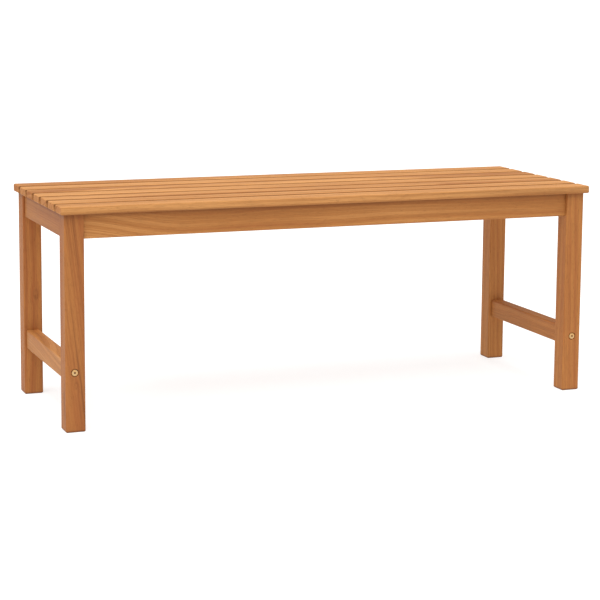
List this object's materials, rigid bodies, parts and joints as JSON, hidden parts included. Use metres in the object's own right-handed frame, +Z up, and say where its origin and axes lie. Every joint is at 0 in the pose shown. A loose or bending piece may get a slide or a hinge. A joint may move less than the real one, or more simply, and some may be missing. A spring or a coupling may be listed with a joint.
{
  "type": "backless bench",
  "caption": "Backless slatted wooden bench with a boxed rail under the seat, square legs and a low rail at each end, bolted together.",
  "frame": {"origin": "on the floor, under the middle of the seat", "axes": "+X along the seat towards its right-hand end, +Y towards the rear, +Z up"},
  "size_m": [1.165, 0.415, 0.45],
  "materials": {
    "seat_wood": "oiled, satin",
    "frame_wood": "oiled, satin",
    "inner_wood": "bare, sawn smooth",
    "yellow_zinc": "yellow passivated zinc plating",
    "plain_steel": "bright zinc plating"
  },
  "bodies": {
    "root": {"corner_block_screws": "plain_steel", "cross_rail_screws": "plain_steel", "end_apron_screws": "plain_steel", "front_apron": "frame_wood", "front_left_barrel_nut": "yellow_zinc", "front_left_corner_block": "inner_wood", "front_left_hanger_bolt": "plain_steel", "front_left_leg": "frame_wood", "front_left_nut": "plain_steel", "front_left_stretcher_bolt": "yellow_zinc", "front_left_washer": "plain_steel", "front_right_barrel_nut": "yellow_zinc", "front_right_corner_block": "inner_wood", "front_right_hanger_bolt": "plain_steel", "front_right_leg": "frame_wood", "front_right_nut": "plain_steel", "front_right_stretcher_bolt": "yellow_zinc", "front_right_washer": "plain_steel", "left_cross_rail": "inner_wood", "left_end_apron": "frame_wood", "left_stretcher": "frame_wood", "long_apron_screws": "plain_steel", "rear_apron": "frame_wood", "rear_left_barrel_nut": "yellow_zinc", "rear_left_corner_block": "inner_wood", "rear_left_hanger_bolt": "plain_steel", "rear_left_leg": "frame_wood", "rear_left_nut": "plain_steel", "rear_left_stretcher_bolt": "yellow_zinc", "rear_left_washer": "plain_steel", "rear_right_barrel_nut": "yellow_zinc", "rear_right_corner_block": "inner_wood", "rear_right_hanger_bolt": "plain_steel", "rear_right_leg": "frame_wood", "rear_right_nut": "plain_steel", "rear_right_stretcher_bolt": "yellow_zinc", "rear_right_washer": "plain_steel", "right_cross_rail": "inner_wood", "right_end_apron": "frame_wood", "right_stretcher": "frame_wood", "seat_slat_1": "seat_wood", "seat_slat_2": "seat_wood", "seat_slat_3": "seat_wood", "seat_slat_4": "seat_wood", "seat_slat_5": "seat_wood", "seat_slat_6": "seat_wood", "seat_slat_7": "seat_wood", "stretcher_dowels": "inner_wood"}
  },
  "joints": []
}
